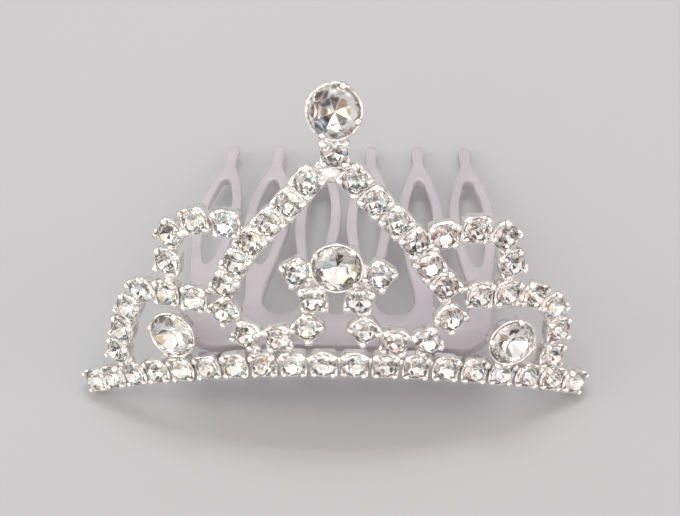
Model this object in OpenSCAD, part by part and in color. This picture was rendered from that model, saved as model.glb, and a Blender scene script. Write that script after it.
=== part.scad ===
// Small rhinestone tiara on a six-tooth hair comb, lying on a surface.
// The tiara is soldered together flat from strips of cup chain, with one arched band below,
// and then bent round a cylinder. Points of that flat pattern are given as [u, v]:
// u runs along the bend from the middle, v runs up the face, both in millimetres.
// X is to the right, Y is to the back, where the comb points, and Z is up.

/* [Face of the tiara] */
// Radius that the left half is bent to
bend_left = 79.5; // [70:0.5:100]
// Radius that the right half is bent to
bend_right = 71; // [70:0.5:100]
// Angle between the face's own upward direction and the surface
lean = 56.35; // [50:0.05:65]
// Sideways tilt of the hand-bent face against the comb
roll = 0.85; // [0:0.05:1.5]
// Number of cups in the band
band_cups = 19; // [17:2:21]
// Distance from cup to cup along the band
band_pitch = 3.98; // [3.9:0.02:4.2]
// Drop of the band's arch per square millimetre of run
band_arch = 0.0062; // [0.004:0.0001:0.007]
// Place of the arch's highest point along the bend
band_top_u = -0.7; // [-2:0.1:2]
// Shift of the row of cups along the band
band_shift = -1.7; // [-2:0.1:2]

/* [Small cups] */
// Width of a cup across its flats
cup_w = 3.5; // [3.3:0.05:3.5]
// Diameter across a cup's rounded corners
cup_round = 4.35; // [4.1:0.05:4.4]
// Depth of a cup behind the pattern surface
cup_back = 1.6; // [1.4:0.1:1.8]
// Height of a cup's rim in front of the pattern surface
cup_rim = 0.05; // [0:0.05:0.2]
// Width of a claw
claw_w = 0.66; // [0.5:0.02:0.7]
// Diameter of a small stone
stone_d = 2.95; // [2.75:0.05:2.95]

/* [Round settings] */
// Diameter of a large stone
gem_d = 5.9; // [5.7:0.1:6]
// Diameter of a setting's rim
setting_d = 6.6; // [6.5:0.1:6.8]
// Diameter of a setting's foot
setting_foot_d = 5.2; // [5:0.1:5.6]
// Depth of a setting from rim to foot
setting_deep = 2.1; // [1.9:0.1:2.4]

/* [Comb] */
// Number of teeth
teeth = 6; // [4:1:6]
// Distance from tooth to tooth at the spine
tooth_pitch = 7.85; // [7.4:0.05:8]
// Lean of each tooth towards the middle, in degrees for each tooth away from it
tooth_fan = 0.55; // [0:0.05:0.8]
// Slope of the comb from its tips up to its spine
comb_slope = 14; // [12:0.1:14.5]
// Skew of the glued comb against the face
comb_turn = -0.1; // [-1:0.1:0]
// Sideways tilt of the glued comb, which lifts its left side
comb_roll = -1.5; // [-2:0.1:0]
// Distance from the tips to the spine's front wall
comb_long = 42.3; // [41:0.1:42.3]
// Thickness of the spine
spine_thick = 2; // [1.6:0.1:2.2]
// Thickness of a tooth's tip
tip_thick = 1.4; // [1.2:0.1:1.6]
// Rounding of the spine's front corners
spine_corner = 5; // [3:0.5:6]

/* [Hidden] */
$fn = 48;

// Strips of cup chain in the flat pattern: [name, side, start u, start v, step, headings].
// Headings are for the right side, and side -1 mirrors the strip.
STRIPS = [
    ["slope",  1,  2.8, 25.0, 3.65, [-49, -47, -50, -62, -55]],
    ["slope", -1,  2.8, 24.8, 3.6,  [-49, -46, -46, -55, -61]],
    ["upper",  1, 13.4, 17.4, 4.05, [6, -19, -73]],
    ["upper", -1, 13.1, 19.1, 4.1,  [1, -29, -78]],
    ["lower",  1, 18.3,  8.8, 3.8,  [-4, -14, -36, -75, -100]],
    ["lower", -1, 18.4,  8.3, 3.9,  [5, -3, -51, -67, -71]],
    ["inner",  1, 14.6,  6.0, 4.25, [226, 179, 153, 98, 53]],
    ["inner", -1, 14.4,  7.0, 4.2,  [229, 184, 156, 103, 62]]
];
// Cups of two strips that are soldered together: [name, cup, name, cup]
JOINS = [
    ["slope", 3, "upper", 0], ["slope", 5, "lower", 0], ["slope", 5, "inner", 0],
    ["upper", 3, "lower", 1]
];
// Cups that stand on the band: [name, cup]
FEET = [["lower", 5], ["inner", 1], ["inner", 2]];
// Single cup below the top setting: [u, v, turn]
NECK = [0.5, 28.35, 0];
// Pool of solder between the neck cup and the slopes: [u, v, width]
POOL = [-0.1, 25.8, 2.4];
// Round settings: [name, u, v, height of the rim, turn, tip back of the face]
SETTINGS = [
    ["top",     0.6, 33.4,  0.3, 22, 17],
    ["centre",  0.4, 13.9,  0.3, 3, 0],
    ["left",  -21.8,  2.8,  0.4, 28, 0],
    ["right",  22.5,  1.95, 1.0, 28, 0]
];
// Outline of one tooth: [distance from the tip, half width, half width of its loop]
TOOTH = [
    [0.95, 0.95, 0], [5, 0.95, 0], [6, 1.2, 0], [7, 1.62, 0], [8, 1.98, 0],
    [9.4, 2.35, 0.55], [10.4, 2.58, 0.95], [12.2, 2.95, 1.45], [14, 3.2, 1.7], [17.5, 3.42, 1.8],
    [20.8, 3.25, 1.6], [23.2, 2.85, 1.35], [25.6, 2.48, 0.9], [26.8, 2.3, 0.5],
    [29, 1.9, 0], [30.7, 1.58, 0], [33, 1.3, 0], [35.5, 1.25, 0]
];

clear = 0.05;
girdle_h = 0.14;
stone_z = cup_rim - 0.05;
band_v = -0.05;
claw_reach = 0.36;
link_w = 1.1;
link_thick = 0.34;
floor_thick = 0.45;
glue_gap = 0.12;
tip_r = TOOTH[0][1];
stem_half = TOOTH[len(TOOTH) - 1][1];
tooth_foot = TOOTH[len(TOOTH) - 1][0] - 1.5;
gap_r = tooth_pitch / 2 - stem_half;
spine_half = (teeth - 1) / 2 * tooth_pitch + stem_half;

// Places in the flat pattern

function bend(u) = u > 0 ? bend_right : bend_left;
function deg(u) = u / bend(u) * 180 / PI;
function arch(u) = band_v + band_arch * (pow(band_top_u, 2) - pow(u - band_top_u, 2));
function arch_turn(u) = atan(-2 * band_arch * (u - band_top_u));
// Moves along the arch in small steps of equal length, and gives u after a run of s
function along(s, u = 0, n = 40) =
    n == 0 ? u : along(s - s / n, u + s / n * cos(arch_turn(u)), n - 1);
function band_cup(k) =
    let (u = along((k - (band_cups - 1) / 2) * band_pitch + band_shift))
    [u, arch(u), arch_turn(u)];
BAND = [for (k = [0 : band_cups - 1]) band_cup(k)];

function walk(u, v, step, turns, k = 0) =
    k == len(turns) ? [[u, v]] :
    concat([[u, v]], walk(u + step * cos(turns[k]), v + step * sin(turns[k]), step, turns, k + 1));
// Cups of a strip as [u, v, turn], each turned midway between its two steps
function strip_cups(s) =
    let (at = walk(s[2], s[3], s[4], s[5]), last = len(s[5]) - 1)
    [for (k = [0 : last + 1])
        let (a = (s[5][max(k - 1, 0)] + s[5][min(k, last)]) / 2)
        [s[1] * at[k][0], at[k][1], s[1] > 0 ? a : 180 - a]];
function strip(name, side) = [for (s = STRIPS) if (s[0] == name && s[1] == side) s][0];
function setting(name) = [for (s = SETTINGS) if (s[0] == name) s][0];
function apart(p, q) = norm([q[0] - p[0], q[1] - p[1]]);
function nearest(p) =
    let (gaps = [for (c = BAND) apart(p, c)])
    BAND[search(min(gaps), gaps)[0]];

// Height of the pattern's middle, so that the lowest corners of the band's ends touch the surface
function rise(u, v, d) =
    v * sin(lean) + ((bend(u) + d) * cos(deg(u)) - bend(u)) * cos(lean);
function corner_rise(cup, side) =
    let (r = cup_round / 2, a = cup[2] - 90 + side * 45)
    rise(cup[0] + r * cos(a), cup[1] + r * sin(a), -cup_back) * cos(roll)
    - (cup[0] + r * cos(a)) * sin(roll);
face_lift = -min([for (k = [0, band_cups - 1]) for (side = [-1, 1]) corner_rise(BAND[k], side)]);

// Teeth of the comb, counted from 0, in its own frame: each is turned about its foot
function tooth_x(k) = (k - (teeth - 1) / 2) * tooth_pitch;
function tooth_turn(k) = ((teeth - 1) / 2 - k) * tooth_fan;
// Height of the lowest point of a tooth's round tip, before the comb is lifted
function tip_low(k) =
    let (
        long = tooth_foot - tip_r,
        x = tooth_x(k) + long * sin(tooth_turn(k)),
        y = tooth_foot - long * cos(tooth_turn(k)),
        up_x = -sin(comb_roll) * cos(comb_slope),
        up_y = sin(comb_slope)
    )
    x * up_x + y * up_y - tip_r * norm([up_x, up_y]) - tip_thick * cos(comb_roll) * cos(comb_slope);
comb_lift = -min([for (k = [0 : teeth - 1]) tip_low(k)]);

// Middle of the pattern and tips of the comb, measured from the middle of the part's footprint
face_at = [1.75, -21.58, face_lift];
comb_at = [1.39, 22.9, comb_lift];

// Places its children in the plane that the face is bent from: X is u, Y is v, Z is outward
module on_pattern() {
    translate(face_at) rotate([lean, roll, 0]) children();
}

// Places its children on the bent face at [u, v], turned by a about the outward direction
module on_face(u, v, a = 0) {
    on_pattern()
        translate([0, v, -bend(u)])
            rotate([0, deg(u), 0])
                translate([0, 0, bend(u)])
                    rotate([0, 0, a])
                        children();
}

// Places its children in the comb's plane: Y runs from the tips up to the spine, Z is its top face
module on_comb() {
    translate(comb_at)
        rotate([comb_slope, 0, 180 + comb_turn])
            rotate([0, comb_roll, 0])
                children();
}

// Stones

// Eight-sided cut stone with a table, eight crown facets, a girdle and a pointed back
module cut_stone(d, table_d, crown, pavilion) {
    sides = 8;
    ring = function (r, z) [for (k = [0 : sides - 1]) [r * cos(k * 45), r * sin(k * 45), z]];
    points = concat(
        ring(table_d / 2, girdle_h + crown), ring(d / 2, girdle_h), ring(d / 2, 0),
        [[0, 0, -pavilion]]
    );
    walls = [for (level = [0, 1]) for (k = [0 : sides - 1])
        let (next = (k + 1) % sides, from = level * sides)
        [from + k, from + next, from + next + sides, from + k + sides]];
    back = [for (k = [0 : sides - 1]) [2 * sides + k, 2 * sides + (k + 1) % sides, 3 * sides]];
    polyhedron(points, concat([[for (k = [sides - 1 : -1 : 0]) k]], walls, back));
}

module small_stone() {
    translate([0, 0, stone_z - girdle_h])
        cut_stone(stone_d, stone_d * 0.58, 0.55, 0.9);
}

module chain_stones(cups) {
    for (c = cups) on_face(c[0], c[1], c[2]) small_stone();
}

module strip_stones(name, side) {
    color("white") chain_stones(strip_cups(strip(name, side)));
}

module band_stones(first, last) {
    color("white") chain_stones([for (k = [first : last]) BAND[k]]);
}

module neck_stone() {
    color("white") chain_stones([NECK]);
}

module on_setting(s) {
    on_face(s[1], s[2]) translate([0, 0, s[3]]) rotate([-s[5], 0, s[4]]) children();
}

module large_stone(name) {
    color("white")
        on_setting(setting(name))
            translate([0, 0, -girdle_h])
                cut_stone(gem_d, gem_d * 0.55, 1.15, setting_deep - girdle_h - 0.55);
}

// Metal

// Claw that stands outside a stone of radius r and bends in over its crown
module claw(r, foot) {
    inner = r + 1.5 * clear;
    outer = inner + claw_w * 0.85;
    tip = inner - claw_reach;
    rotate([90, 0, 0])
        translate([0, 0, -claw_w / 2])
            linear_extrude(claw_w)
                polygon([
                    [inner, foot], [inner, stone_z + 0.03], [tip, stone_z + 0.12 + claw_reach],
                    [tip + 0.1, stone_z + 0.7], [outer - 0.12, stone_z + 0.62], [outer, foot]
                ]);
}

// Pressed square cup with rounded corners and four claws
module cup() {
    difference() {
        translate([0, 0, -cup_back])
            linear_extrude(cup_back + cup_rim)
                intersection() {
                    square(cup_w, center = true);
                    rotate([0, 0, 22.5]) circle(d = cup_round, $fn = 8);
                }
        cup_seat();
    }
    for (k = [0 : 3]) rotate([0, 0, 45 + 90 * k]) claw(stone_d / 2, cup_rim - 1.2);
}

// Flat link between the backs of two neighbouring cups
module link(p, q) {
    length = apart(p, q) - cup_w + 0.7;
    on_face((p[0] + q[0]) / 2, (p[1] + q[1]) / 2, atan2(q[1] - p[1], q[0] - p[0]))
        translate([-length / 2, -link_w / 2, -cup_back + 0.06])
            cube([length, link_w, link_thick]);
}

module cup_chain(cups) {
    for (c = cups) on_face(c[0], c[1], c[2]) cup();
    for (k = [1 : len(cups) - 1]) link(cups[k - 1], cups[k]);
}

// Space inside a small cup, from its floor up
module cup_seat() {
    translate([0, 0, -cup_back + floor_thick]) cylinder(d = stone_d + 2 * clear, h = 4);
}

// Space inside a round setting, whose rim is at height 0
module setting_seat() {
    seat_r = gem_d / 2 + clear;
    rotate_extrude()
        polygon([
            [0, -setting_deep + 0.4], [0.8, -setting_deep + 0.4], [seat_r, -0.45], [seat_r, 3], [0, 3]
        ]);
}

// Round setting: a tapered cup with four claws
module round_setting() {
    difference() {
        translate([0, 0, -setting_deep])
            cylinder(d1 = setting_foot_d, d2 = setting_d, h = setting_deep);
        setting_seat();
    }
    for (k = [0 : 3])
        rotate([0, 0, 45 + 90 * k]) translate([0, 0, -stone_z]) claw(gem_d / 2, stone_z - 1.1);
}

// Blob of solder that joins a round setting to a cup, against the setting's wall
module solder_blob(s, cup) {
    t = (setting_d / 2 - 0.25) / apart([s[1], s[2]], cup);
    difference() {
        on_face(s[1] + t * (cup[0] - s[1]), s[2] + t * (cup[1] - s[2]))
            translate([0, 0, -cup_back + 0.1])
                cylinder(d = 2, h = 1.3);
        on_setting(s) setting_seat();
        on_face(cup[0], cup[1], cup[2]) cup_seat();
    }
}

// Pool of solder below the neck cup, which fills the gap down to the first cups of the slopes
module solder_pool() {
    difference() {
        on_face(POOL[0], POOL[1])
            translate([0, 0, -cup_back + 0.1])
                cylinder(d = POOL[2], h = 1.2);
        on_face(NECK[0], NECK[1], NECK[2]) cup_seat();
    }
}

module frame() {
    top = setting("top");
    centre = setting("centre");
    color("gainsboro") {
        cup_chain(BAND);
        for (s = STRIPS) cup_chain(strip_cups(s));
        on_face(NECK[0], NECK[1], NECK[2]) cup();
        for (s = SETTINGS) on_setting(s) round_setting();
        solder_blob(top, NECK);
        solder_pool();
        for (s = [setting("left"), setting("right")]) solder_blob(s, nearest([s[1], s[2]]));
        for (side = [-1, 1]) {
            inner = strip_cups(strip("inner", side));
            for (k = [4, 5]) solder_blob(centre, inner[k]);
            link(NECK, strip_cups(strip("slope", side))[0]);
            for (j = JOINS)
                link(strip_cups(strip(j[0], side))[j[1]], strip_cups(strip(j[2], side))[j[3]]);
            for (f = FEET)
                let (cup = strip_cups(strip(f[0], side))[f[1]]) link(cup, nearest(cup));
        }
    }
}

// Comb

// Closed outline through a table's rows, with the half width in column c on each side
module both_sides(rows, c, low, high) {
    right = [for (r = rows) [r[c], r[0]]];
    left = [for (k = [len(rows) - 1 : -1 : 0]) [-rows[k][c], rows[k][0]]];
    polygon(concat([[0, low]], right, [[0, high]], left));
}

module tooth_outline() {
    both_sides(TOOTH, 1, tip_r, TOOTH[len(TOOTH) - 1][0] + 0.1);
    translate([0, tip_r]) circle(r = tip_r);
}

module loop_outline() {
    rows = [for (r = TOOTH) if (r[2] > 0) r];
    both_sides(rows, 2, rows[0][0] - 0.9, rows[len(rows) - 1][0] + 0.5);
}

module spine_outline() {
    corner_y = comb_long - spine_corner;
    difference() {
        union() {
            translate([-spine_half, tooth_foot])
                square([2 * spine_half, corner_y - tooth_foot]);
            translate([-spine_half + spine_corner, tooth_foot])
                square([2 * (spine_half - spine_corner), comb_long - tooth_foot]);
            for (side = [-1, 1])
                translate([side * (spine_half - spine_corner), corner_y]) circle(r = spine_corner);
        }
        for (k = [1 : teeth - 1])
            translate([tooth_x(k - 0.5), tooth_foot]) circle(r = gap_r);
    }
}

// Places its children, drawn as the middle tooth would be, as each of the teeth
module each_tooth() {
    for (k = [0 : teeth - 1])
        translate([tooth_x(k), tooth_foot])
            rotate(tooth_turn(k))
                translate([0, -tooth_foot])
                    children();
}

module comb() {
    color("lightsteelblue")
        on_comb()
            intersection() {
                translate([0, 0, -spine_thick])
                    linear_extrude(spine_thick)
                        difference() {
                            union() {
                                spine_outline();
                                each_tooth() tooth_outline();
                            }
                            each_tooth() loop_outline();
                        }
                // The underside tapers towards the tips
                translate([-2 * spine_half, 0, 0])
                    rotate([90, 0, 90])
                        linear_extrude(4 * spine_half)
                            polygon([
                                [-1, 0.5], [comb_long + 1, 0.5], [comb_long + 1, -spine_thick - 1],
                                [comb_long - 6, -spine_thick], [0, -tip_thick], [-1, -tip_thick]
                            ]);
            }
}

// Clear glue between the band's backs and the spine's front wall
module glue_bead() {
    color("white")
        difference() {
            intersection() {
                on_pattern()
                    translate([0, -2.2, -bend_right])
                        rotate([-90, 0, 0])
                            cylinder(r = bend_right - cup_back - glue_gap, h = 4.6, $fn = 360);
                on_comb() translate([-16, comb_long - 4, -2.6]) cube([32, 8, 3]);
            }
            on_comb() translate([-30, comb_long - 20, -6]) cube([60, 20 + glue_gap, 12]);
        }
}

comb();
frame();
glue_bead();
large_stone("top");  // top_stone
large_stone("centre");  // centre_stone
large_stone("left");  // left_stone
large_stone("right");  // right_stone
neck_stone();
band_stones(0, 9);  // band_stones_left
band_stones(10, band_cups - 1);  // band_stones_right
strip_stones("slope", -1);  // slope_stones_left
strip_stones("slope", 1);  // slope_stones_right
strip_stones("upper", -1);  // upper_stones_left
strip_stones("upper", 1);  // upper_stones_right
strip_stones("lower", -1);  // lower_stones_left
strip_stones("lower", 1);  // lower_stones_right
strip_stones("inner", -1);  // inner_stones_left
strip_stones("inner", 1);  // inner_stones_right
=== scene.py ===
"""Small rhinestone tiara: cup chain soldered into a pattern, bent, and glued to a hair comb.

Shapes are worked out in millimetres, and new_piece turns them into metres. X is to the right,
Y to the back, where the comb points, and Z is up, as in the solid model.
"""

import math

import bpy
import numpy as np
from mathutils import Matrix, Vector
from mathutils.geometry import delaunay_2d_cdt


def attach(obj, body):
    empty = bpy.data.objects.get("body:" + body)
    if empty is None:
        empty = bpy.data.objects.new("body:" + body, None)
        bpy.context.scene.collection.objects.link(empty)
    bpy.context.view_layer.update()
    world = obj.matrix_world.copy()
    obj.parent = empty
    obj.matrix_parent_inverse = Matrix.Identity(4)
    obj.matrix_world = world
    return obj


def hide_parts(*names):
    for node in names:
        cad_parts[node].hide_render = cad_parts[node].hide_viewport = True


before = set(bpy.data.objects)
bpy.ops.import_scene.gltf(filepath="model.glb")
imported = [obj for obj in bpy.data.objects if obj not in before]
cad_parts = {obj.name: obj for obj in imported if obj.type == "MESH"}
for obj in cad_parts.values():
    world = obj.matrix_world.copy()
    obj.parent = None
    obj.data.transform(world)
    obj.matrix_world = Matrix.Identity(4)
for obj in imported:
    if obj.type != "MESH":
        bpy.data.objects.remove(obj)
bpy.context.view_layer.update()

# The camera
# It looks down over the front of the tiara from about 12 cm above the table, turned a little
# to the left, with a lens somewhat longer than normal.
camera_data = bpy.data.cameras.new("camera")
camera_data.sensor_width = 36
camera_data.lens = 47.65
camera_data.clip_start = 0.001
camera = bpy.data.objects.new("camera", camera_data)
bpy.context.scene.collection.objects.link(camera)
bpy.context.scene.camera = camera
# Columns: the camera's right, its up, the way behind it, and its place in metres
camera_frame = np.identity(4)
camera_frame[:3, 0] = (0.9972, 0.0315, -0.0671)
camera_frame[:3, 1] = (0.0077, 0.8567, 0.5157)
camera_frame[:3, 2] = np.cross(camera_frame[:3, 0], camera_frame[:3, 1])
camera_frame[:3, 3] = (0.010738, -0.068953, 0.118604)
camera.matrix_world = Matrix(camera_frame.tolist())


# Cups of the band
# The tiara is made of cup chain: small square cups pressed from plated brass sheet, each with
# four claws, on short flat links. Strips of it are soldered together flat, as points [u, v], and
# the flat pattern is then bent round a cylinder. The band is the lowest row of 19 cups.
BEND_LEFT, BEND_RIGHT = 79.5, 71.0
LEAN, ROLL = 56.35, 0.85
FACE_AT = (1.75, -21.58, 13.36)
BAND_CUPS, BAND_PITCH = 19, 3.98
BAND_ARCH, BAND_TOP_U, BAND_SHIFT, BAND_V = 0.0062, -0.7, -1.7, -0.05
CUP_HALF, CUP_BACK = 1.8, 1.6
STONE_R, STONE_PLAY = 1.58, 0.03
# A millimetre in metres
MM = 0.001


def turned(points, axis, degrees):
    """Points turned about axis 0, 1 or 2: the other two coordinates mix by cosine and sine."""
    one, two = (axis + 1) % 3, (axis + 2) % 3
    c, s = math.cos(math.radians(degrees)), math.sin(math.radians(degrees))
    out = np.array(points, float)
    out[..., one] = c * points[..., one] - s * points[..., two]
    out[..., two] = s * points[..., one] + c * points[..., two]
    return out


def on_pattern(points):
    """Points of the unbent pattern's frame, leaned back, rolled and moved to the face's place."""
    return turned(turned(points, 0, LEAN), 1, ROLL) + FACE_AT


def on_face(points, u, v, turn=0.0):
    """Points near [u, v] on the bent face: turned about the outward Z, then set on the cylinder.

    The cylinder's axis runs along v, and its radius is the bend of that side.
    """
    bend = BEND_RIGHT if u > 0 else BEND_LEFT
    placed = turned(points, 2, turn) + [0, 0, bend]
    return on_pattern(turned(placed, 1, math.degrees(u / bend)) + [0, v, -bend])


def arch_height(u):
    """Height v of the band's arch: a parabola that peaks at BAND_TOP_U."""
    return BAND_V + BAND_ARCH * (BAND_TOP_U**2 - (u - BAND_TOP_U) ** 2)


def arch_turn(u):
    """Slope of the band's arch in degrees, from the parabola's derivative."""
    return math.degrees(math.atan(-2 * BAND_ARCH * (u - BAND_TOP_U)))


def band_cup(number):
    """[u, v, turn] of a band cup, found by small equal steps along the arch."""
    run = (number - (BAND_CUPS - 1) / 2) * BAND_PITCH + BAND_SHIFT
    u = 0.0
    for _ in range(40):
        u += run / 40 * math.cos(math.radians(arch_turn(u)))
    return u, arch_height(u), arch_turn(u)


BAND = [band_cup(number) for number in range(BAND_CUPS)]


def skin(rings):
    """Closed skin over a stack of rings, an array of rows by points by xyz.

    Quads join each ring to the next, and a fan of triangles to its mean closes each end.
    """
    rows, count = rings.shape[:2]
    here = np.arange(rows * count).reshape(rows, count)
    ahead = np.roll(here, -1, 1)
    quads = np.stack([here[:-1], ahead[:-1], ahead[1:], here[1:]], -1).reshape(-1, 4)
    first, last = np.full(count, rows * count), np.full(count, rows * count + 1)
    triangles = np.concatenate([
        np.stack([ahead[0], here[0], first], -1),
        np.stack([here[-1], ahead[-1], last], -1)])
    points = np.concatenate([rings.reshape(-1, 3), rings[:1].mean(1), rings[-1:].mean(1)])
    return points, quads, triangles


def joined(skins):
    """Several skins as one: their points in a row, and their point numbers moved on."""
    starts = np.cumsum([0] + [len(s[0]) for s in skins[:-1]])
    points = np.concatenate([s[0] for s in skins])
    quads = np.concatenate([s[1] + start for s, start in zip(skins, starts)])
    triangles = np.concatenate([s[2] + start for s, start in zip(skins, starts)])
    return points, quads, triangles


def placed(one_skin, *place):
    """A skin moved by on_face to its place on the bent face."""
    return (on_face(one_skin[0], *place), *one_skin[1:])


def new_piece(name, one_skin, *materials, smooth=True):
    """Mesh object of a skin, at the origin and in metres, with its materials."""
    points, quads, triangles = one_skin
    mesh = bpy.data.meshes.new(name)
    mesh.from_pydata(points * MM, [], quads.tolist() + triangles.tolist())
    mesh.polygons.foreach_set("use_smooth", np.full(len(mesh.polygons), smooth))
    for material in materials:
        mesh.materials.append(material)
    mesh.validate()
    piece = bpy.data.objects.new(name, mesh)
    bpy.context.scene.collection.objects.link(piece)
    return piece


def claw(foot, shoulder, brow, tip, angle, half_wide, half_thick):
    """Bent claw: a grooved oval section carried along a cubic Bezier curve of radius and height.

    The four named points steer the curve. A bell-shaped dip along the middle of the outer face is
    the groove, and the section closes to a round end past 82% of the way.
    """
    rings, sides, closes_at, closes_long = 13, 16, 0.82, 0.185
    t = np.linspace(0, 1, rings)[:, None]
    steer = np.array([foot, shoulder, brow, tip], float)
    curve = ((1 - t) ** 3 * steer[0] + 3 * (1 - t) ** 2 * t * steer[1]
             + 3 * (1 - t) * t**2 * steer[2] + t**3 * steer[3])
    along = np.gradient(curve, axis=0)
    along /= np.linalg.norm(along, axis=1, keepdims=True)
    swell = 1 + 0.16 * np.sin(np.pi * t[:, 0]) ** 2
    past = np.clip(t[:, 0] - closes_at, 0, 1) / closes_long
    closing = np.sqrt(np.clip(1 - past**2, 0, 1))
    beta = np.linspace(0, 2 * np.pi, sides, endpoint=False)
    groove = 1 - 1.3 * np.exp(-(np.cos(beta) / 0.4) ** 2) * (np.sin(beta) > 0)
    side = (half_wide * swell * closing)[:, None] * np.cos(beta)
    thick = (half_thick * swell * closing)[:, None] * np.sin(beta) * groove
    radius = curve[:, :1] - along[:, 1:] * thick
    height = curve[:, 1:] + along[:, :1] * thick
    c, s = math.cos(math.radians(angle)), math.sin(math.radians(angle))
    return skin(np.stack([radius * c - side * s, radius * s + side * c, height], -1))


press = np.random.default_rng(7)


def small_cup():
    """Pressed cup: rings from the back's middle, up the wall, over the rim and down round the seat.

    The outer rings are a superellipse less an inset, the inner ones circles round the stone. The
    rim rises towards the four corners by a bell curve, and its inner lip hugs the stone's girdle.
    """
    count, power, corner_wide = 64, 5, 0.36
    angle = np.linspace(0, 2 * np.pi, count, endpoint=False)
    outline = CUP_HALF * (
        np.abs(np.cos(angle)) ** power + np.abs(np.sin(angle)) ** power) ** (-1 / power)
    seat = np.full(count, STONE_R + STONE_PLAY)
    from_corner = np.mod(angle, np.pi / 2) - np.pi / 4
    corner = np.exp(-(from_corner / corner_wide) ** 2)
    rim, lip = 0.34 * corner - 0.28, 0.1 * corner - 0.08
    # (radius, height)
    rows = [(outline - 1.2, -1.5), (outline - 0.95, -1.54), (outline - 0.8, -1.6),
            (outline - 0.3, -1.6), (outline - 0.1, -1.54), (outline - 0.02, -1.4),
            (outline, -1.1), (outline, -0.7), (outline, rim - 0.14), (outline - 0.03, rim - 0.04),
            (outline - 0.09, rim), (0.6 * outline + 0.4 * seat, 0.6 * rim + 0.4 * lip - 0.02),
            (seat + 0.07, lip - 0.01), (seat + 0.03, lip), (seat, lip - 0.04), (seat, -0.8),
            (seat - 0.05, -1.08), (seat - 0.25, -1.18)]
    wall = skin(np.stack([
        np.stack([r * np.cos(angle), r * np.sin(angle), z + 0 * angle], -1) for r, z in rows]))
    claws = [
        claw((1.95, -1.1), (2.45, -0.2), (2.2 + press.normal(0, 0.03), 0.72),
             (1.36 + press.normal(0, 0.04), 0.43 + press.normal(0, 0.02)),
             45 + 90 * number + press.normal(0, 2), 0.35 + press.normal(0, 0.02), 0.14)
        for number in range(4)]
    return joined([wall, *claws])


def pillow(long, wide, thick, boxy):
    """Soft box: an ellipsoid's sines and cosines raised to the power boxy, rings along X."""
    def eased(value):
        return np.sign(value) * np.abs(value) ** boxy

    down = np.linspace(-np.pi / 2, np.pi / 2, 12)[1:-1, None]
    round_ = np.linspace(0, 2 * np.pi, 12, endpoint=False)[None]
    size = eased(np.cos(down))
    return skin(np.stack([
        long / 2 * eased(np.sin(down)) * np.ones_like(round_),
        wide / 2 * size * eased(np.cos(round_)),
        thick / 2 * size * eased(np.sin(round_))], -1))


# A link reaches into its two cups by LINK_LAP in all, and its back lies LINK_IN in from theirs.
LINK_WIDE, LINK_THICK, LINK_LAP, LINK_IN = 1.1, 0.34, 0.7, 0.06


def link(one, two):
    """Flat link on the backs of two cups, as long as the way between their walls and a bit."""
    across, up = two[0] - one[0], two[1] - one[1]
    bar = pillow(math.hypot(across, up) - 2 * CUP_HALF + LINK_LAP, LINK_WIDE, LINK_THICK, 0.4)
    lowered = (bar[0] + [0, 0, LINK_IN + LINK_THICK / 2 - CUP_BACK], *bar[1:])
    return placed(lowered, (one[0] + two[0]) / 2, (one[1] + two[1]) / 2,
                  math.degrees(math.atan2(up, across)))


def chain_metal(cups):
    """Cups of a strip with the links between them."""
    return [placed(small_cup(), *cup) for cup in cups] + [
        link(one, two) for one, two in zip(cups, cups[1:])]


def new_material(name, **sockets):
    """Principled material with the given socket values, and its shader node."""
    material = bpy.data.materials.new(name)
    material.use_nodes = True
    shader = material.node_tree.nodes["Principled BSDF"]
    for socket, value in sockets.items():
        shader.inputs[socket.replace("_", " ")].default_value = value
    return material, shader


def add_node(material, kind, settings=(), **sockets):
    """New node of a kind, with its settings and socket values."""
    node = material.node_tree.nodes.new("ShaderNode" + kind)
    for name, value in dict(settings).items():
        setattr(node, name, value)
    for socket, value in sockets.items():
        node.inputs[socket.replace("_", " ")].default_value = value
    return node


def noise(material, scale, detail=3.0):
    """Noise over Object coordinates, whose scale is in waves a metre."""
    texture = add_node(material, "TexNoise", Scale=scale, Detail=detail)
    place = add_node(material, "TexCoord")
    material.node_tree.links.new(place.outputs["Object"], texture.inputs["Vector"])
    return texture.outputs["Fac"]


def ramp(material, value, stops, interpolation="LINEAR"):
    """Colour ramp over a value: stops are (position, colour)."""
    node = add_node(material, "ValToRGB")
    node.color_ramp.interpolation = interpolation
    elements = node.color_ramp.elements
    while len(elements) < len(stops):
        elements.new(0.5)
    for element, (position, colour) in zip(elements, stops):
        element.position = position
        element.color = (*colour, 1)
    material.node_tree.links.new(value, node.inputs["Fac"])
    return node.outputs["Color"]


def bump(material, shader, height, strength, distance):
    """Bump from a height on the shader's normal."""
    node = add_node(material, "Bump", Strength=strength, Distance=distance)
    material.node_tree.links.new(height, node.inputs["Height"])
    material.node_tree.links.new(node.outputs["Normal"], shader.inputs["Normal"])


# The plate's base colour is mottled by noise with darker champagne-brown flecks: painted
# reflections that give the bright metal its dark specks and warm glints.
silver, silver_shader = new_material("silver_plate", Metallic=1.0)
silver.node_tree.links.new(
    ramp(silver, noise(silver, 1000), [
        (0.32, (0.66, 0.59, 0.54)), (0.46, (0.91, 0.89, 0.86)), (0.7, (0.98, 0.97, 0.95))]),
    silver_shader.inputs["Base Color"])
silver.node_tree.links.new(
    ramp(silver, noise(silver, 1500), [(0.35, (0.1, 0.1, 0.1)), (0.7, (0.26, 0.26, 0.26))]),
    silver_shader.inputs["Roughness"])
bump(silver, silver_shader, noise(silver, 3200, 4.0), 0.3, 0.00006)

band_metal = new_piece("band_cups", joined(chain_metal(BAND)), silver)
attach(band_metal, "root")
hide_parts("frame")


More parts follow.
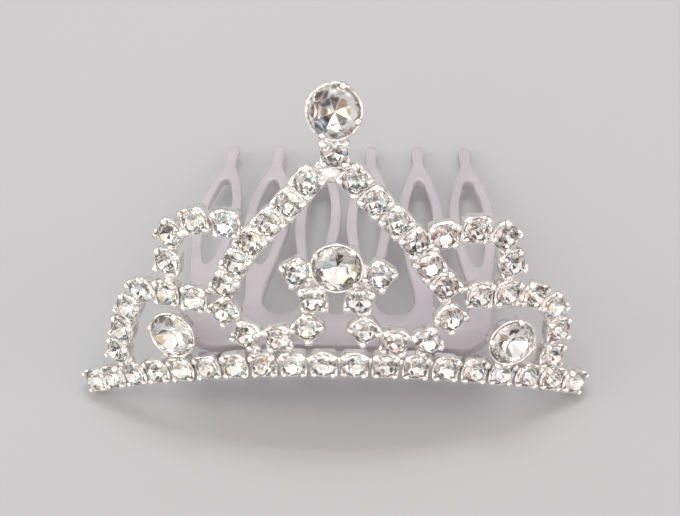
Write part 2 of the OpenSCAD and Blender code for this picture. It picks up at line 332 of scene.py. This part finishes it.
# Cups of the slopes, loops and inner strips
# Two slopes of six cups meet below the top setting. Outside them an upper loop of four cups and
# a lower loop of six stand on each other, and an inner strip of six carries the centre setting.
# [name, side, start u, start v, step, headings], with the headings as on the right side.
STRIPS = [
    ("slope", 1, 2.8, 25.0, 3.65, (-49, -47, -50, -62, -55)),
    ("slope", -1, 2.8, 24.8, 3.6, (-49, -46, -46, -55, -61)),
    ("upper", 1, 13.4, 17.4, 4.05, (6, -19, -73)),
    ("upper", -1, 13.1, 19.1, 4.1, (1, -29, -78)),
    ("lower", 1, 18.3, 8.8, 3.8, (-4, -14, -36, -75, -100)),
    ("lower", -1, 18.4, 8.3, 3.9, (5, -3, -51, -67, -71)),
    ("inner", 1, 14.6, 6.0, 4.25, (226, 179, 153, 98, 53)),
    ("inner", -1, 14.4, 7.0, 4.2, (229, 184, 156, 103, 62)),
]
NECK = (0.5, 28.35, 0)
POOL = (-0.1, 25.8)
# Joints between two strips: (strip, cup, strip, cup). Feet on the band: (strip, cup).
JOINS = [("slope", 3, "upper", 0), ("slope", 5, "lower", 0), ("slope", 5, "inner", 0),
         ("upper", 3, "lower", 1)]
FEET = [("lower", 5), ("inner", 1), ("inner", 2)]


def strip_cups(side, u, v, step, headings):
    """[u, v, turn] of each cup: equal steps along the headings, turned midway between two."""
    places = [(u, v)]
    for heading in headings:
        a = math.radians(heading)
        places.append((places[-1][0] + step * math.cos(a), places[-1][1] + step * math.sin(a)))
    before, after = (headings[0], *headings), (*headings, headings[-1])
    turns = [(one + two) / 2 for one, two in zip(before, after)]
    return [(side * u, v, turn if side > 0 else 180 - turn)
            for (u, v), turn in zip(places, turns)]


CHAINS = {(name, side): strip_cups(side, *rest) for name, side, *rest in STRIPS}


def nearest_band_cup(place):
    """The band cup that stands closest to a place in the pattern."""
    return min(BAND, key=lambda cup: math.hypot(cup[0] - place[0], cup[1] - place[1]))


SOLDER_IN = 0.12


def solder(place, wide, high, seed):
    """Frozen drop of solder: an ellipsoid whose radius swells and shrinks by a few sines."""
    drop = pillow(2, 2, 2, 1.0)
    x, y, z = drop[0].T
    lumps = (1 + 0.09 * np.sin(3 * x + seed) * np.cos(2.3 * y - seed)
             + 0.05 * np.sin(5 * z + 2 * seed))
    points = drop[0] * lumps[:, None] * [wide / 2, wide / 2, high / 2]
    return placed((points + [0, 0, high / 2 - CUP_BACK + SOLDER_IN], *drop[1:]), *place)


for name in ("slope", "upper", "lower", "inner"):
    metal = new_piece(
        name + "_cups",
        joined(chain_metal(CHAINS[name, -1]) + chain_metal(CHAINS[name, 1])), silver)
    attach(metal, "root")
    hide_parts("frame")

bridges = []
for side in (-1, 1):
    for one, cup_one, two, cup_two in JOINS:
        bridges.append((CHAINS[one, side][cup_one], CHAINS[two, side][cup_two]))
    for name, cup in FEET:
        bridges.append((CHAINS[name, side][cup], nearest_band_cup(CHAINS[name, side][cup])))
    bridges.append((NECK, CHAINS["slope", side][0]))
bridge_skins = []
for number, (one, two) in enumerate(bridges):
    middle = ((one[0] + two[0]) / 2, (one[1] + two[1]) / 2)
    bridge_skins += [link(one, two), solder(middle, 1.5, 0.95, number * 1.7)]
bridge_skins.append(solder(POOL, 2.5, 1.3, 2.6))
joints = new_piece("soldered_joints", joined(bridge_skins), silver)
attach(joints, "root")
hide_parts("frame")


# Round settings and the neck cup
# Four turned cups hold the large stones: one on top over the neck cup, one in the centre on the
# inner strips, and one in each lower loop, on the band. Each has a foot, a tapered wall, a thin
# rolled rim and four claws, and drops of solder hold it to its neighbours.
# name: (u, v, height of the rim, turn, tip back of the face)
SETTINGS = {
    "top": (0.6, 33.4, 0.3, 22, 17),
    "centre": (0.4, 13.9, 0.3, 3, 0),
    "left": (-21.8, 2.8, 0.4, 28, 0),
    "right": (22.5, 1.95, 1.0, 28, 0),
}
GEM_R, SETTING_R, FOOT_R, SETTING_DEEP = 2.95, 3.3, 2.6, 2.1


def in_setting(one_skin, name):
    """A skin moved from a setting's own frame, with its rim at height 0, to its place."""
    u, v, height, turn, tip = SETTINGS[name]
    points = turned(turned(one_skin[0], 0, -tip), 2, turn) + [0, 0, height]
    return (on_face(points, u, v), *one_skin[1:])


def round_setting():
    """Turned cup: circles from the foot's middle, up the tapered wall, over the rim and inside."""
    angle = np.linspace(0, 2 * np.pi, 72, endpoint=False)
    # (radius, height)
    rows = np.array([
        (0.7, -1.96), (1.9, -1.98), (2.05, -SETTING_DEEP), (FOOT_R - 0.15, -SETTING_DEEP),
        (FOOT_R - 0.02, -2.02), (FOOT_R + 0.06, -1.8), (2.95, -0.95), (SETTING_R - 0.04, -0.18),
        (SETTING_R, -0.06), (SETTING_R - 0.02, 0.03), (SETTING_R - 0.1, 0.07),
        (SETTING_R - 0.19, 0.05), (GEM_R + 0.07, -0.03), (GEM_R + 0.04, -0.4), (2.3, -0.82),
        (0.9, -1.66)])
    radius, height = rows[:, :1], rows[:, 1:]
    rings = np.stack([radius * np.cos(angle), radius * np.sin(angle),
                      height * np.ones_like(angle)], -1)
    claws = [
        claw((3.12, -1.3), (3.5, 0.2), (3.34, 0.74), (2.66 + press.normal(0, 0.05), 0.52),
             45 + 90 * number + press.normal(0, 2), 0.36, 0.17)
        for number in range(4)]
    return joined([skin(rings), *claws])


def beside(name, cup):
    """Place of the drop of solder between a setting and a cup, on the setting's wall."""
    u, v = SETTINGS[name][:2]
    share = (SETTING_R - 0.1) / math.hypot(cup[0] - u, cup[1] - v)
    return u + share * (cup[0] - u), v + share * (cup[1] - v)


drops = [("top", NECK)]
drops += [(name, nearest_band_cup(SETTINGS[name])) for name in ("left", "right")]
drops += [("centre", CHAINS["inner", side][cup]) for side in (-1, 1) for cup in (4, 5)]
settings_metal = new_piece("round_settings", joined(
    [in_setting(round_setting(), name) for name in SETTINGS]
    + [placed(small_cup(), *NECK)]
    + [solder(beside(name, cup), 2.0, 1.2, number * 2.1)
       for number, (name, cup) in enumerate(drops)]), silver)
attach(settings_metal, "root")
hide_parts("frame")


# Stones
# Machine-cut glass chatons with mirrored backs. The crown has a table, eight stars, eight kites
# and sixteen small facets at the girdle, and the back has eight main facets to a point. Light
# goes in through the clear crown and comes back from the mirrored back facets.
GIRDLE = 0.14
# Side corner of a kite, as a share of the way from the table to the girdle, and inner corner of
# the back's small facets, as a share of the radius
KITE_SIDE, BACK_SIDE = 0.52, 0.72
FACET_NUMBERS = 150
# Spread of the random values that pick each back facet's painted reflection colour
PAINTED_TINT_SPREAD = 0.78
cutting = np.random.default_rng(11)


def cut_stone(radius, table, crown, deep):
    """Round cut stone with its lower girdle edge at height 0: (points, quads, triangles, facets).

    Rings of eight points lie at every 45 degrees, half a step apart from ring to ring. A kite's
    side corners are put in the plane of its upper and lower corner. facets numbers the flat
    facet that each face belongs to, and a back facet's number is 100 or more.
    """
    step = np.radians(45) * np.arange(8)
    half = math.radians(22.5)

    def ring(r, z, shift):
        return np.stack([r * np.cos(step + shift), r * np.sin(step + shift), np.full(8, z)], -1)

    top = GIRDLE + crown
    side_r = table + KITE_SIDE * (radius - table)
    side_z = top - crown * (side_r * math.cos(half) - table) / (radius - table)
    low_r = BACK_SIDE * radius
    low_z = -deep * (1 - low_r * math.cos(half) / radius)
    table_ring, side_ring = ring(table, top, 0), ring(side_r, side_z, half)
    upper, upper_half = ring(radius, GIRDLE, 0), ring(radius, GIRDLE, half)
    lower, lower_half = ring(radius, 0, 0), ring(radius, 0, half)
    low_side = ring(low_r, low_z, half)
    points = np.concatenate([table_ring, side_ring, upper, upper_half, lower, lower_half,
                             low_side, [[0, 0, top], [0, 0, -deep]]])
    t, s, g, h, p, q, w = (np.arange(8) + 8 * n for n in range(7))
    on, back = (lambda a: np.roll(a, -1)), (lambda a: np.roll(a, 1))
    middle, point = np.full(8, len(points) - 2), np.full(8, len(points) - 1)
    quads = np.concatenate([
        np.stack([t, back(s), g, s], -1), np.stack([h, g, p, q], -1),
        np.stack([on(g), h, q, on(p)], -1), np.stack([p, back(w), point, w], -1)])
    triangles = np.concatenate([
        np.stack([middle, t, on(t)], -1), np.stack([t, s, on(t)], -1),
        np.stack([s, g, h], -1), np.stack([s, h, on(g)], -1),
        np.stack([w, q, p], -1), np.stack([w, on(p), q], -1)])
    n = np.arange(8)
    facets = np.concatenate([
        10 + n, 130 + n, 140 + n, 100 + n,
        0 * n, 40 + n, 50 + n, 60 + n, 110 + n, 120 + n])
    return points, quads, triangles, facets


def set_stones(cut, placings, sparse, painted_rose_shift):
    """Several stones as one skin, with an array of values for each face and for each point.

    Each stone is turned and tipped a little in its seat, and placings move its points. A face has
    its tint, which picks a painted reflection colour, its heart, which picks the painted shade
    round the point, and whether it is a back facet. A tint is a random share of the tint spread
    plus the rose shift of the painted reflections, and a heart is a random number raised to the
    power sparse.
    A point has its place in the stone's own plan, as a share of the radius.
    """
    points, quads, triangles, facets = cut
    skins, faces = [], []
    for move in placings:
        sat = turned(turned(points, 0, cutting.normal(0, 1.2)), 2, cutting.uniform(0, 45))
        skins.append((move(sat), quads, triangles))
        faces.append(np.stack([
            painted_rose_shift + PAINTED_TINT_SPREAD * cutting.random(FACET_NUMBERS)[facets],
            cutting.random(FACET_NUMBERS)[facets] ** sparse,
            facets >= 100], -1))
    split = len(quads)
    faces = np.concatenate([f[:split] for f in faces] + [f[split:] for f in faces])
    plan = points * [1, 1, 0] / np.abs(points[:, 0]).max()
    return joined(skins), faces, np.tile(plan, (len(skins), 1))


glass, glass_shader = new_material(
    "cut_glass", Base_Color=(1, 1, 1, 1), Roughness=0.0, IOR=1.5, Transmission_Weight=1.0)
# The mirrored back's base colour is painted light: its rays, hearts and tints are painted
# reflections.
foil, foil_shader = new_material("mirrored_back_painted", Metallic=1.0, Roughness=0.15)


def mixed(material, factor, one, other):
    """Colour between one and other: a socket or a fixed colour on either side."""
    node = add_node(material, "Mix", {"data_type": "RGBA"})
    for socket, value in ((0, factor), (6, one), (7, other)):
        if isinstance(value, tuple):
            node.inputs[socket].default_value = value
        else:
            material.node_tree.links.new(value, node.inputs[socket])
    return node.outputs[2]


def sums(material, operation, *values):
    """Math node on sockets and numbers."""
    node = add_node(material, "Math", {"operation": operation})
    for socket, value in enumerate(values):
        if isinstance(value, (int, float)):
            node.inputs[socket].default_value = value
        else:
            material.node_tree.links.new(value, node.inputs[socket])
    return node.outputs[0]


# The back's eight main facets meet in rays, painted bright. Round the point lies each facet's
# heart, which is painted white or in darker painted reflections of olive, blue-grey, brown and near
# black.
painted_reflection_tint = add_node(foil, "Attribute", {"attribute_name": "painted_reflection_tint"}).outputs["Fac"]
painted_heart_shade = add_node(foil, "Attribute", {"attribute_name": "painted_heart_shade"}).outputs["Fac"]
plan = add_node(foil, "Attribute", {"attribute_name": "plan"}).outputs["Vector"]
split_plan = add_node(foil, "SeparateXYZ")
foil.node_tree.links.new(plan, split_plan.inputs[0])
plan_x, plan_y = split_plan.outputs[0], split_plan.outputs[1]
from_point = sums(foil, "SQRT", sums(
    foil, "ADD", sums(foil, "MULTIPLY", plan_x, plan_x), sums(foil, "MULTIPLY", plan_y, plan_y)))
round_plan = sums(foil, "ARCTAN2", plan_y, plan_x)
off_ray = sums(foil, "ABSOLUTE", sums(foil, "COSINE", sums(foil, "MULTIPLY", round_plan, 4.0)))
# Painted reflections outside the hearts: white, cream, pale blue, rose, amber and grey facets
painted_outer_reflection = ramp(foil, painted_reflection_tint, [
    (0.0, (0.95, 0.91, 0.76)), (0.1, (0.70, 0.66, 0.48)), (0.15, (0.92, 0.90, 0.82)),
    (0.28, (1.0, 1.0, 0.98)), (0.62, (0.80, 0.89, 0.97)), (0.68, (1.0, 1.0, 0.99)),
    (0.78, (0.95, 0.85, 0.80)), (0.88, (0.80, 0.62, 0.55)), (0.94, (0.58, 0.50, 0.50))],
    "CONSTANT")
# Painted shade and reflections round each back facet's point
painted_heart_colour = ramp(foil, painted_heart_shade, [
    (0.0, (1.0, 1.0, 0.98)), (0.48, (0.80, 0.73, 0.50)), (0.6, (0.66, 0.78, 0.82)),
    (0.7, (0.66, 0.46, 0.34)), (0.8, (0.34, 0.28, 0.25)), (0.9, (0.12, 0.09, 0.09))], "CONSTANT")
in_painted_heart = ramp(foil, from_point, [(0.42, (1, 1, 1)), (0.5, (0, 0, 0))])
# Painted highlight: the rays between the back facets are white
painted_bright_ray = ramp(foil, off_ray, [(0.12, (1, 1, 1)), (0.28, (0, 0, 0))])
foil.node_tree.links.new(
    mixed(foil, painted_bright_ray, mixed(foil, in_painted_heart, painted_outer_reflection, painted_heart_colour), (1, 1, 1, 1)),
    foil_shader.inputs["Base Color"])


def new_stones(name, cut, placings, sparse, painted_rose_shift, node):
    """Piece of cut stones that stands for the solid stones of a node."""
    stones, faces, plans = set_stones(cut, placings, sparse, painted_rose_shift)
    piece = new_piece(name, stones, glass, foil, smooth=False)
    for column, attribute in enumerate(("painted_reflection_tint", "painted_heart_shade")):
        piece.data.attributes.new(attribute, "FLOAT", "FACE").data.foreach_set(
            "value", faces[:, column].copy())
    piece.data.attributes.new("plan", "FLOAT_VECTOR", "POINT").data.foreach_set(
        "vector", plans.ravel())
    piece.data.polygons.foreach_set("material_index", faces[:, 2].astype(np.int32))
    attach(piece, "root")
    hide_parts(node)


def at_cup(cup):
    """Mover that seats a small stone, with its girdle just below the rim of a cup."""
    return lambda points: on_face(points - [0, 0, GIRDLE], *cup)


small_cut = cut_stone(STONE_R, STONE_R * 0.58, 0.55, 0.9)
# The rose shift moves the painted reflections of the stones on the right and the top one towards
# rose and amber, and sparse sets how few back facets get a dark painted heart.
SPARSE, PAINTED_ROSE_SHIFT = 2.2, 0.22
new_stones("band_crystals_left", small_cut, [at_cup(c) for c in BAND[:10]], SPARSE, 0,
           "band_stones_left")
new_stones("band_crystals_right", small_cut, [at_cup(c) for c in BAND[10:]], SPARSE, PAINTED_ROSE_SHIFT,
           "band_stones_right")
new_stones("neck_crystal", small_cut, [at_cup(NECK)], SPARSE, 0, "neck_stone")
for (name, side), cups in CHAINS.items():
    hand = "right" if side > 0 else "left"
    new_stones(f"{name}_crystals_{hand}", small_cut, [at_cup(c) for c in cups], SPARSE,
               PAINTED_ROSE_SHIFT if side > 0 else 0, f"{name}_stones_{hand}")

large_cut = cut_stone(GEM_R, GEM_R * 0.55, 1.15, SETTING_DEEP - GIRDLE - 0.55)


def at_setting(name):
    """Mover that seats a large stone in a round setting."""
    return lambda points: in_setting((points - [0, 0, GIRDLE],), name)[0]


for name, sparse, painted_rose_shift in (("top", 0.2, PAINTED_ROSE_SHIFT), ("centre", SPARSE, 0), ("left", SPARSE, 0),
                           ("right", SPARSE, PAINTED_ROSE_SHIFT)):
    new_stones(name + "_crystal", large_cut, [at_setting(name)], sparse, painted_rose_shift, name + "_stone")


# Hair comb
# Moulded in one piece from frosted clear plastic: a flat spine with two round corners, and six
# teeth that open into long loops and end in slim tips. Its underside tapers to the tips, and
# every edge is rounded by the mould. It lies with its tips on the table.
TEETH, PITCH, FAN = 6, 7.85, 0.55
COMB_SLOPE, COMB_TURN, COMB_ROLL, COMB_LONG = 14, -0.1, -1.5, 42.3
SPINE_THICK, TIP_THICK, SPINE_CORNER, SPINE_LEVEL = 2.0, 1.4, 5.0, 6.0
COMB_AT = (1.39, 22.9, 1.835)
EDGE = 0.38
# (distance from the tip, half width)
TOOTH = [(0.95, 0.95), (5, 0.95), (6, 1.2), (7, 1.62), (8, 1.98), (9.4, 2.35), (10.4, 2.58),
         (12.2, 2.95), (14, 3.2), (17.5, 3.42), (20.8, 3.25), (23.2, 2.85), (25.6, 2.48),
         (26.8, 2.3), (29, 1.9), (30.7, 1.58), (33, 1.3), (35.5, 1.25)]
# (distance from the tip, half width of the loop before its ends are rounded)
LOOP = [(8.5, 0.65), (9.4, 0.8), (10.4, 1.02), (12.2, 1.45), (14, 1.7), (17.5, 1.8), (20.8, 1.6),
        (23.2, 1.35), (25.6, 0.95), (26.8, 0.65), (27.3, 0.55)]
LOOP_END = 0.8
TIP_R, STEM = TOOTH[0][1], TOOTH[-1][1]
FOOT = TOOTH[-1][0] - 1.5


def through(rows, at):
    """Smooth curve through rows of (place, value): cubic pieces with each row's mean slope."""
    place, value = np.array(rows, float).T
    slope = np.gradient(value, place)
    k = np.clip(np.searchsorted(place, at) - 1, 0, len(place) - 2)
    step = place[k + 1] - place[k]
    t = (at - place[k]) / step
    return ((2 * t**3 - 3 * t**2 + 1) * value[k] + (t**3 - 2 * t**2 + t) * step * slope[k]
            + (3 * t**2 - 2 * t**3) * value[k + 1] + (t**3 - t**2) * step * slope[k + 1])


def arc(x, y, radius, start, end, count):
    """Points on a circle's arc between two angles in degrees."""
    a = np.radians(np.linspace(start, end, count))
    return np.stack([x + radius * np.cos(a), y + radius * np.sin(a)], -1)


def on_tooth(points, number):
    """Points drawn about a middle tooth, turned about its foot and moved to a tooth's place."""
    middle = (TEETH - 1) / 2
    a = math.radians((middle - number) * FAN)
    x, y = points[:, 0], points[:, 1] - FOOT
    return np.stack([x * math.cos(a) - y * math.sin(a) + (number - middle) * PITCH,
                     x * math.sin(a) + y * math.cos(a) + FOOT], -1)


def comb_outline():
    """Outer edge of the comb with the plastic on its left, from the first tooth's root.

    Each tooth goes down its left side, round its tip and up, and an arc leads to the next.
    """
    spine_half = (TEETH - 1) / 2 * PITCH + STEM
    up = np.linspace(TIP_R + 0.4, FOOT, 56)
    side = np.stack([through(TOOTH, up), up], -1)
    tooth = np.concatenate([side[::-1] * [-1, 1], arc(0, TIP_R, TIP_R, 180, 360, 13), side])
    parts = []
    for number in range(TEETH):
        parts.append(on_tooth(tooth, number))
        if number < TEETH - 1:
            x = (number + 1 - TEETH / 2) * PITCH
            parts.append(arc(x, FOOT, PITCH / 2 - STEM, 180, 0, 17)[1:-1])
    front = COMB_LONG - SPINE_CORNER
    rise = np.linspace(FOOT, front, 10)[1:-1]
    parts.append(np.stack([np.full(8, spine_half), rise], -1))
    parts.append(arc(spine_half - SPINE_CORNER, front, SPINE_CORNER, 0, 90, 16))
    across = np.linspace(spine_half - SPINE_CORNER, SPINE_CORNER - spine_half, 60)[1:-1]
    parts.append(np.stack([across, np.full(58, COMB_LONG)], -1))
    parts.append(arc(SPINE_CORNER - spine_half, front, SPINE_CORNER, 90, 180, 16))
    parts.append(np.stack([np.full(8, -spine_half), rise[::-1]], -1))
    return np.concatenate(parts)


def loop_outline(number):
    """Edge of one tooth's loop, with the plastic on its left: up one side and down the other.

    The half width is scaled by a quarter ellipse over the last LOOP_END of both ends.
    """
    swing = (1 - np.cos(np.linspace(0, np.pi, 48))) / 2
    up = LOOP[0][0] + swing * (LOOP[-1][0] - LOOP[0][0])
    to_end = np.minimum(up - LOOP[0][0], LOOP[-1][0] - up)
    half = through(LOOP, up) * np.sqrt(1 - (1 - np.minimum(to_end / LOOP_END, 1)) ** 2)
    return on_tooth(np.concatenate([
        np.stack([-half[:-1], up[:-1]], -1), np.stack([half[:0:-1], up[:0:-1]], -1)]), number)


def moulded(edges, thickness, rounding):
    """Flat moulding within closed edges: a rounded edge carried along each, and two flat sides.

    Each ring is the edge moved inwards along its normal, and its height goes from the underside
    over the quarter circles of both roundings to the top at 0. Both flat sides are filled with
    triangles between the inmost rings.
    """
    quarter = np.radians(np.linspace(0, 90, 6))
    inset = rounding * (1 - np.cos(quarter))
    drop = rounding * (1 - np.sin(quarter))
    points, quads, start, rims = [], [], 0, []
    for edge in edges:
        along = np.roll(edge, -1, 0) - np.roll(edge, 1, 0)
        along /= np.linalg.norm(along, axis=1, keepdims=True)
        inward = np.stack([-along[:, 1], along[:, 0]], -1)
        thick = thickness(edge[:, 1])
        rows = [np.column_stack([edge + inward * i, d - thick])
                for i, d in zip(inset[::-1], drop[::-1])]
        rows += [np.column_stack([edge + inward * i, np.full(len(edge), -d)])
                 for i, d in zip(inset, drop)]
        count = len(edge)
        here = start + np.arange(len(rows) * count).reshape(len(rows), count)
        ahead = np.roll(here, -1, 1)
        quads.append(np.stack([here[:-1], ahead[:-1], ahead[1:], here[1:]], -1).reshape(-1, 4))
        points.append(np.concatenate(rows))
        rims.append((here[0], here[-1], rows[-1][:, :2]))
        start += len(rows) * count
    low, high = (np.concatenate([rim[k] for rim in rims]) for k in (0, 1))
    flat = np.concatenate([rim[2] for rim in rims])
    begins = np.cumsum([0] + [len(rim[2]) for rim in rims]).tolist()
    shapes = [list(range(a, b)) for a, b in zip(begins, begins[1:])]
    shapes[1:] = [hole[::-1] for hole in shapes[1:]]
    filled = delaunay_2d_cdt(flat.tolist(), [], shapes, 2, 1e-6)
    source = np.array([numbers[0] for numbers in filled[3]])
    triangles = source[np.array(filled[2])]
    return (np.concatenate(points), np.concatenate(quads),
            np.concatenate([high[triangles], low[triangles][:, ::-1]]))


def comb_thickness(up):
    """The underside is level below the spine, and tapers evenly from there to the tips."""
    share = np.clip(up / (COMB_LONG - SPINE_LEVEL), 0, 1)
    return TIP_THICK + (SPINE_THICK - TIP_THICK) * share


def on_comb(points):
    """Points of the comb's own frame: rolled, sloped down to its tips and turned to the back."""
    sloped = turned(turned(points, 1, COMB_ROLL), 0, COMB_SLOPE)
    return turned(sloped, 2, 180 + COMB_TURN) + COMB_AT


plastic, plastic_shader = new_material(
    "frosted_plastic", IOR=1.49, Transmission_Weight=0.6, Coat_Weight=0.8, Coat_Roughness=0.08)
plastic.node_tree.links.new(
    ramp(plastic, noise(plastic, 160), [(0.3, (0.70, 0.66, 0.69)), (0.7, (0.81, 0.76, 0.79))]),
    plastic_shader.inputs["Base Color"])
plastic.node_tree.links.new(
    ramp(plastic, noise(plastic, 900), [(0.3, (0.36, 0.36, 0.36)), (0.75, (0.5, 0.5, 0.5))]),
    plastic_shader.inputs["Roughness"])
bump(plastic, plastic_shader, noise(plastic, 2500), 0.15, 0.00005)

edges = [comb_outline()] + [loop_outline(number) for number in range(TEETH)]
comb_points, comb_quads, comb_triangles = moulded(edges, comb_thickness, EDGE)
comb = new_piece("hair_comb", (on_comb(comb_points), comb_quads, comb_triangles), plastic)
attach(comb, "root")
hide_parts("comb")


# Glue
# Clear glue joins the backs of the band's middle cups to the comb's front wall. It is a lumpy
# bead, squeezed between the two, that has set glossy and with a wavy top.
GLUE_HALF, GLUE_TALL = 15.6, 1.05
# Gap to the comb, middle's depth below the comb's top, and the face's middle from the comb's
GLUE_GAP, GLUE_BELOW, GLUE_SHIFT = 0.14, 1.1, 0.4


def glue_bead():
    """Oval rings along the comb's wall, as wide as the way from the wall to the cups' backs.

    Sines of the place along the bead swell its section and make it rise and fall.
    """
    count, sides = 90, 20
    x = np.linspace(-GLUE_HALF, GLUE_HALF, count)
    middle = np.array([0.0, 0.0, -CUP_BACK])
    backs = np.stack([on_face(middle, u, arch_height(u)) for u in x - GLUE_SHIFT])
    wall = on_comb(np.stack([
        -x, np.full(count, COMB_LONG + GLUE_GAP), np.full(count, -GLUE_BELOW)], -1))
    gap = backs - wall
    gap[:, 2] = 0
    reach = np.linalg.norm(gap, axis=1, keepdims=True)
    outward = gap / reach
    lumps = 1 + 0.16 * np.sin(1.3 * x) + 0.1 * np.sin(3.1 * x + 1) + 0.06 * np.sin(6.7 * x)
    ends = np.sqrt(np.clip(1 - (np.abs(x) / (GLUE_HALF + 0.02)) ** 8, 0, 1))
    beta = np.linspace(2 * np.pi, 0, sides, endpoint=False)
    centre = wall + outward * reach * 0.5
    across = reach * 0.5 * ends[:, None] * np.cos(beta)
    height = GLUE_TALL * (lumps * ends)[:, None] * np.sin(beta)
    rings = centre[:, None] + outward[:, None] * across[..., None]
    rings[..., 2] += height
    return skin(rings)


set_glue, set_glue_shader = new_material(
    "set_glue", Base_Color=(0.96, 0.96, 0.94, 1), Roughness=0.06, IOR=1.47,
    Transmission_Weight=0.95)
bump(set_glue, set_glue_shader, noise(set_glue, 1400), 0.6, 0.0002)
glue = new_piece("glue", glue_bead(), set_glue)
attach(glue, "root")
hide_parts("glue_bead")


# Table and light
# A plain pale table top in a bright room. One large soft light stands above and behind, a tall
# one at each side, and small ones round the front, whose reflections make the stones sparkle.
FLOOR_HALF = 2
AIM = Vector((0, -0.01, 0.01))
SPARK_FAR = 0.3
corners = [(-FLOOR_HALF, -FLOOR_HALF, 0), (FLOOR_HALF, -FLOOR_HALF, 0),
           (FLOOR_HALF, FLOOR_HALF, 0), (-FLOOR_HALF, FLOOR_HALF, 0)]
floor_mesh = bpy.data.meshes.new("table_top")
floor_mesh.from_pydata(corners, [], [(0, 1, 2, 3)])
floor = bpy.data.objects.new("table_top", floor_mesh)
bpy.context.scene.collection.objects.link(floor)
floor_material, floor_shader = new_material(
    "pale_table", Base_Color=(0.42, 0.42, 0.43, 1), Roughness=0.7)
floor_mesh.materials.append(floor_material)


def soft_light(name, place, size, power, colour=(1, 1, 1)):
    """Rectangular area light that faces the tiara."""
    data = bpy.data.lights.new(name, "AREA")
    data.shape = "RECTANGLE"
    data.size, data.size_y = size
    data.energy = power
    data.color = colour
    light = bpy.data.objects.new(name, data)
    away = (Vector(place) - AIM).to_track_quat("Z", "Y")
    light.matrix_world = Matrix.Translation(place) @ away.to_matrix().to_4x4()
    bpy.context.scene.collection.objects.link(light)


soft_light("key", (0.02, 0.16, 0.34), (0.2, 0.1), 0.6)
soft_light("left", (-0.3, -0.02, 0.2), (0.06, 0.25), 0.25, (1, 0.98, 0.88))
soft_light("right", (0.32, -0.05, 0.16), (0.05, 0.25), 0.17, (1, 0.88, 0.84))
# (degrees round from the front, degrees up), all SPARK_FAR metres away
for number, (round_, up) in enumerate([
        (-50, 12), (-22, 30), (-8, 8), (15, 20), (38, 9), (55, 35), (-70, 45), (5, 55)]):
    a, b = math.radians(round_), math.radians(up)
    place = (SPARK_FAR * math.sin(a) * math.cos(b), -SPARK_FAR * math.cos(a) * math.cos(b),
             SPARK_FAR * math.sin(b))
    soft_light(f"spark_{number}", place, (0.022, 0.022), 0.012)
soft_light("front", (-0.01, -0.25, 0.15), (0.08, 0.03), 0.045)
# The room is white in front, rosy on the right and grey at the back, and has a dim patch above
# the front, which the stones' backs mirror.
world = bpy.data.worlds.new("room")
world.use_nodes = True
room = add_node(world, "TexCoord").outputs["Generated"]
towards = add_node(world, "SeparateXYZ")
world.node_tree.links.new(room, towards.inputs[0])
facing = add_node(world, "VectorMath", {"operation": "DOT_PRODUCT"})
facing.inputs[1].default_value = (0.07, -0.5, 0.86)
world.node_tree.links.new(room, facing.inputs[0])
to_right = ramp(world, towards.outputs[0], [(0.0, (0, 0, 0)), (0.45, (1, 1, 1))])
to_back = ramp(world, towards.outputs[1], [(0.1, (0, 0, 0)), (0.6, (1, 1, 1))])
patch = ramp(world, facing.outputs["Value"], [(0.9, (0, 0, 0)), (0.97, (1, 1, 1))])
front = mixed(world, to_right, (0.99, 0.99, 0.97, 1), (0.99, 0.84, 0.83, 1))
walls = mixed(world, to_back, front, (0.6, 0.6, 0.61, 1))
world.node_tree.links.new(
    mixed(world, patch, walls, (0.75, 0.75, 0.76, 1)),
    world.node_tree.nodes["Background"].inputs["Color"])
bpy.context.scene.world = world
bpy.context.scene.view_settings.view_transform = "Standard"
